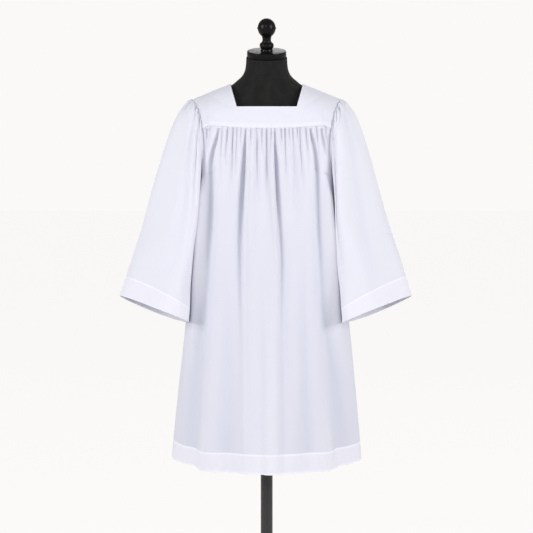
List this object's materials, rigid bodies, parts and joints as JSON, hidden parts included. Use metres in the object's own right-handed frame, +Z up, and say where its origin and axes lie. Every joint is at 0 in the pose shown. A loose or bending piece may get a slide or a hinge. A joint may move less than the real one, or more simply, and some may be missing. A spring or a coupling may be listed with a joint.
{
  "type": "surplice on a dress form",
  "caption": "White knee-length surplice with a square yoke, gathered body and wide bell sleeves, on a limbless black dress form with a pole and a round base.",
  "frame": {"origin": "on the floor, at the middle of the round base's underside", "axes": "+Z up through the pole and the neck; the front of the garment faces -Y; +X towards the wearer's left sleeve"},
  "size_m": [0.7712, 0.3945, 1.6332],
  "materials": {
    "cotton": "matte, slightly sheer plain weave",
    "form_jersey": "matte knitted cover",
    "gloss_wood": "gloss black lacquer",
    "stand_steel": "satin black paint"
  },
  "bodies": {
    "root": {"front_yoke": "cotton", "back_yoke": "cotton", "front_panel": "cotton", "back_panel": "cotton", "left_sleeve": "cotton", "right_sleeve": "cotton", "form_torso": "form_jersey", "neck_cap": "gloss_wood", "finial": "gloss_wood", "stand_pole": "stand_steel", "stand_base": "stand_steel"}
  },
  "joints": []
}
